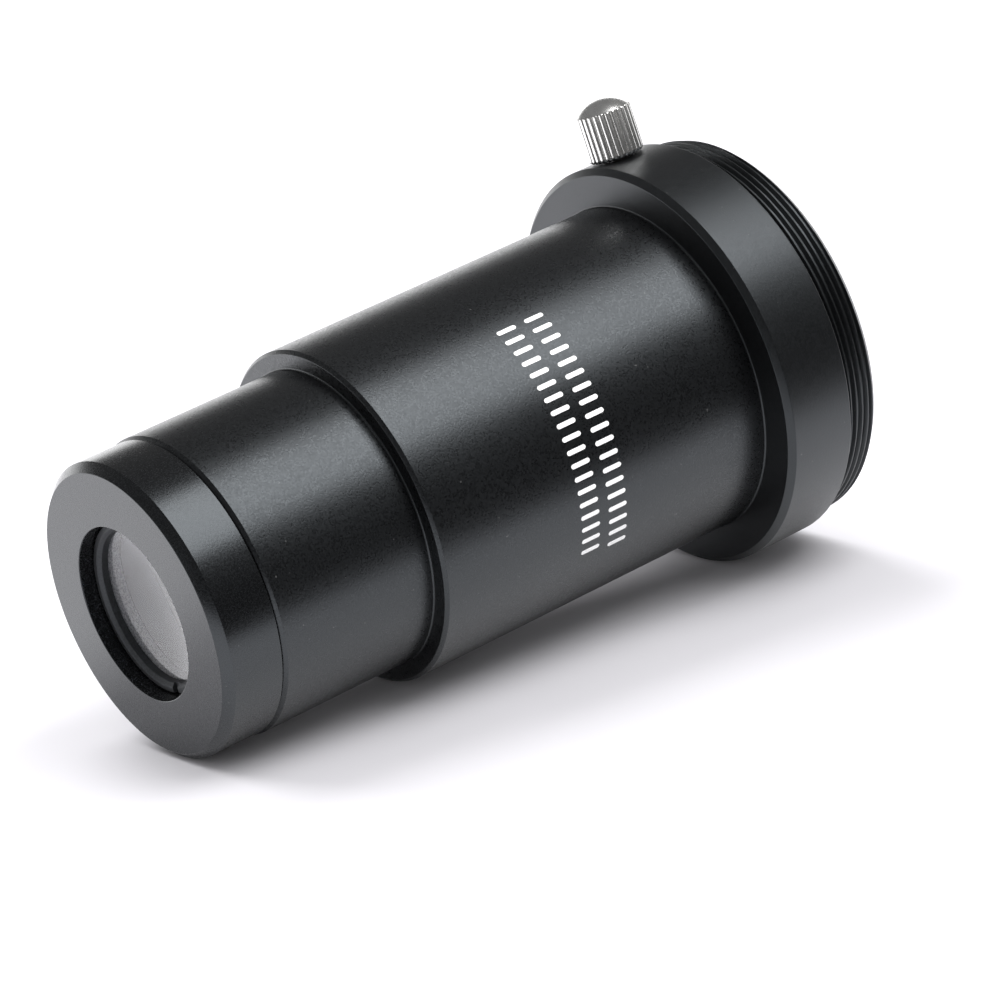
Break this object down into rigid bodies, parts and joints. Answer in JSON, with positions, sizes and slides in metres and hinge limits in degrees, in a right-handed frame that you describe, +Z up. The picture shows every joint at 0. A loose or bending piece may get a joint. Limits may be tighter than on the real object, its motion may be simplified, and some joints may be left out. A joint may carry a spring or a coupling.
{
  "type": "barlow lens",
  "caption": "Barlow lens tube lying on its side: stepped black barrel with a recessed lens cell, an eyepiece socket with a thumbscrew and a threaded camera collar.",
  "frame": {"origin": "centre of the bounding box in X and Y, on the flat surface that the barrel lies on", "axes": "+Z up from that surface; the optical axis lies in the XZ plane and runs from the lens cell at -X to the eyepiece end at +X, rising 5.43 degrees, because the barrel rests on the rims of its cell and its wider holder; the thumbscrew leans 9 degrees from the vertical towards +Y"},
  "size_m": [0.081, 0.0438, 0.0499],
  "materials": {
    "blasted_anodised": "bead-blasted, black anodised",
    "satin_anodised": "turned, satin black anodised",
    "blackened_ring": "matt black anodised",
    "coated_glass": "polished, anti-reflection coated",
    "spring_brass": "turned",
    "stud_steel": "turned",
    "nickel": "bright nickel plate"
  },
  "bodies": {
    "root": {"nose_tube": "blasted_anodised", "body_tube": "blasted_anodised", "eyepiece_holder": "satin_anodised", "compression_ring": "spring_brass"},
    "lens_pack": {"front_lens": "coated_glass", "lens_spacer": "blackened_ring", "crown_lens": "coated_glass", "flint_lens": "coated_glass"},
    "cell": {"lens_cell": "satin_anodised", "cell_retaining_ring": "blackened_ring"},
    "stud": {"thumbscrew_stud": "stud_steel"},
    "knob": {"thumbscrew_knob": "nickel"}
  },
  "joints": [
    {"name": "cell_travel", "type": "slide", "parent": "root", "child": "lens_pack", "axis": [-0.9955, 0, -0.0946], "range_m": [0, 0.0048]},
    {"name": "cell_turn", "type": "hinge", "parent": "lens_pack", "child": "cell", "pos_m": [-0.03116, 0, 0.01625], "axis": [-0.9955, 0, -0.0946], "range_deg": [0, 2880]},
    {"name": "thumbscrew_travel", "type": "slide", "parent": "root", "child": "stud", "axis": [-0.0934, 0.1564, 0.9833], "range_m": [0, 0.004]},
    {"name": "thumbscrew_turn", "type": "hinge", "parent": "stud", "child": "knob", "pos_m": [0.02799, 0.00375, 0.04568], "axis": [-0.0934, 0.1564, 0.9833], "range_deg": [0, 2880]}
  ],
  "couplings": [
    {"joint": "cell_travel", "follows": "cell_turn", "m_per_rad": 0.000095493},
    {"joint": "thumbscrew_turn", "follows": "thumbscrew_travel", "rad_per_m": 12566}
  ]
}
